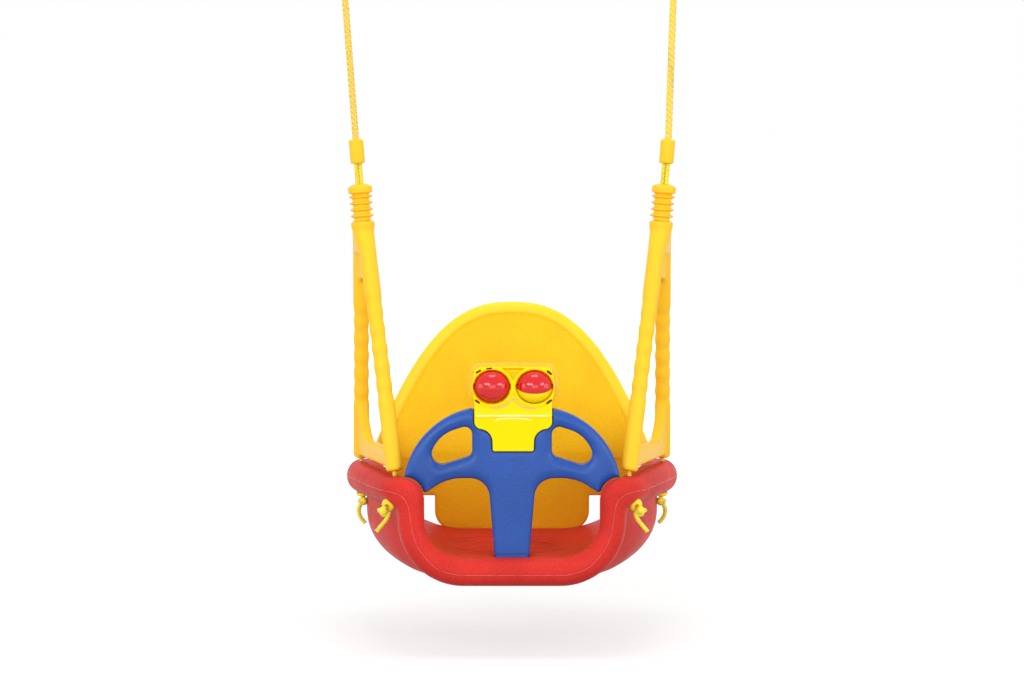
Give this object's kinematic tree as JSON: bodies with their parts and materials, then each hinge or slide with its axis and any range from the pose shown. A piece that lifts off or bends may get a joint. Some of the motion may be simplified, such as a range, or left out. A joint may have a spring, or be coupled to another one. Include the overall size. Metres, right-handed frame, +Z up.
{
  "type": "toddler swing seat",
  "caption": "Toddler swing: moulded bucket seat with backrest, lift-up restraint bar with a play console of spinning balls, and side frames hung on ropes from two rings.",
  "frame": {"origin": "on the hanging line that joins the centres of the two hang rings, in the seat's middle plane", "axes": "+Z up along the hanging height, +Y from the restraint bar towards the backrest, +X to the seat's right as seen from the front"},
  "size_m": [0.4567, 0.2787, 0.8208],
  "materials": {
    "red_shell": "blow-moulded, finely grained",
    "orange_panel": "moulded, finely grained",
    "blue_bar": "moulded, matt",
    "lemon_housing": "moulded, glossy",
    "pale_housing": "moulded, glossy",
    "red_ball": "glossy",
    "yellow_ball": "glossy",
    "steel": "zinc-plated",
    "yellow_frame": "moulded, satin",
    "yellow_cap": "moulded, satin",
    "yellow_rope": "braided polypropylene"
  },
  "bodies": {
    "hanger": {"hang_ring_left": "steel", "hang_ring_right": "steel"},
    "seat": {"seat_shell": "red_shell", "backrest": "orange_panel", "backrest_pins": "orange_panel", "side_frame_left": "yellow_frame", "side_frame_right": "yellow_frame", "rope_collar_left": "yellow_frame", "rope_collar_right": "yellow_frame", "rope_sleeve_left": "yellow_frame", "rope_sleeve_right": "yellow_frame", "front_rope_left": "yellow_rope", "front_rope_right": "yellow_rope", "back_rope_left": "yellow_rope", "back_rope_right": "yellow_rope", "cap_front_left": "yellow_cap", "cap_front_right": "yellow_cap", "cap_back_left": "yellow_cap", "cap_back_right": "yellow_cap", "knot_front_left": "yellow_rope", "knot_front_right": "yellow_rope", "knot_back_left": "yellow_rope", "knot_back_right": "yellow_rope", "tail_front_left": "yellow_rope", "tail_front_right": "yellow_rope", "tail_back_left": "yellow_rope", "tail_back_right": "yellow_rope", "upper_rope_left": "yellow_rope", "upper_rope_right": "yellow_rope", "rope_eye_left": "yellow_rope", "rope_eye_right": "yellow_rope", "eye_knot_left": "yellow_rope", "eye_knot_right": "yellow_rope"},
    "restraint": {"restraint_bar": "blue_bar", "console_front": "lemon_housing", "console_back": "pale_housing", "console_screws": "steel", "ball_axle_left": "steel", "ball_axle_right": "steel"},
    "ball_left": {"ball_left_red": "red_ball", "ball_left_yellow": "yellow_ball"},
    "ball_right": {"ball_right_red": "red_ball", "ball_right_yellow": "yellow_ball"}
  },
  "joints": [
    {"name": "swing", "type": "hinge", "parent": "hanger", "child": "seat", "pos_m": [0, 0, 0], "axis": [1, 0, 0], "range_deg": [-40, 40]},
    {"name": "restraint_lift", "type": "slide", "parent": "seat", "child": "restraint", "axis": [0, 0, 1], "range_m": [0, 0.12]},
    {"name": "ball_left_spin", "type": "hinge", "parent": "restraint", "child": "ball_left", "pos_m": [-0.0247, -0.095, -0.551], "axis": [1, 0, 0], "continuous": true},
    {"name": "ball_right_spin", "type": "hinge", "parent": "restraint", "child": "ball_right", "pos_m": [0.0277, -0.095, -0.551], "axis": [1, 0, 0], "continuous": true}
  ]
}
